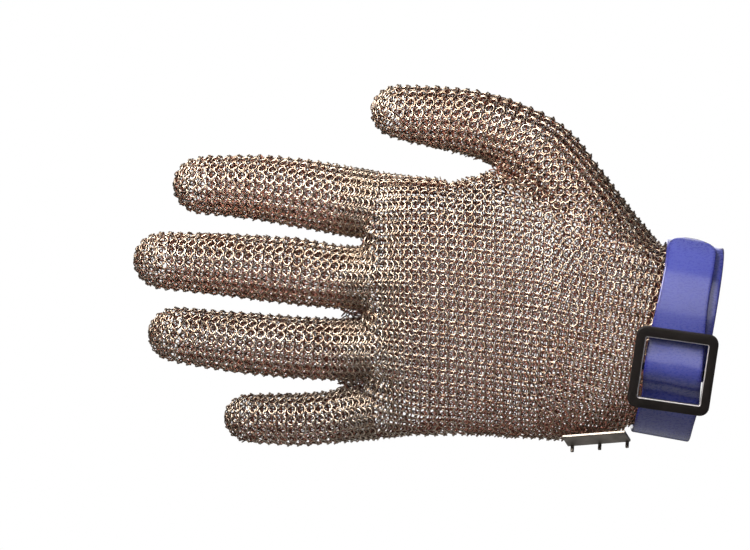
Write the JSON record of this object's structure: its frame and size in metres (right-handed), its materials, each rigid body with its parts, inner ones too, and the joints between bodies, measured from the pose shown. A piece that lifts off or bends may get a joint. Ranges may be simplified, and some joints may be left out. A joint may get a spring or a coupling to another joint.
{
  "type": "chainmail glove",
  "caption": "Chainmail glove for a left hand, worn against cuts and closed at the wrist by a flat strap with a slide buckle.",
  "frame": {"origin": "middle of the wrist opening, in the plane where the mail ends under the strap", "axes": "fingers point along -X, the thumb side is up (+Z), the back of the hand faces -Y and the palm +Y"},
  "size_m": [0.2044, 0.055, 0.1275],
  "materials": {
    "steel_mail": "bright drawn steel wire rings, slightly warm, darkened where they overlap",
    "strap_plastic": "smooth glossy blue plastic band with a soft sheen",
    "buckle_black": "black coated frame, worn bright along the inner edge",
    "plate_steel": "satin grey steel with dark edges"
  },
  "bodies": {
    "root": {"mail_back": "steel_mail", "mail_palm": "steel_mail", "mail_thumb": "steel_mail", "mail_index": "steel_mail", "mail_middle": "steel_mail", "mail_ring_finger": "steel_mail", "mail_little": "steel_mail", "wrist_strap": "strap_plastic", "buckle_frame": "buckle_black", "side_plate": "plate_steel"}
  },
  "joints": []
}
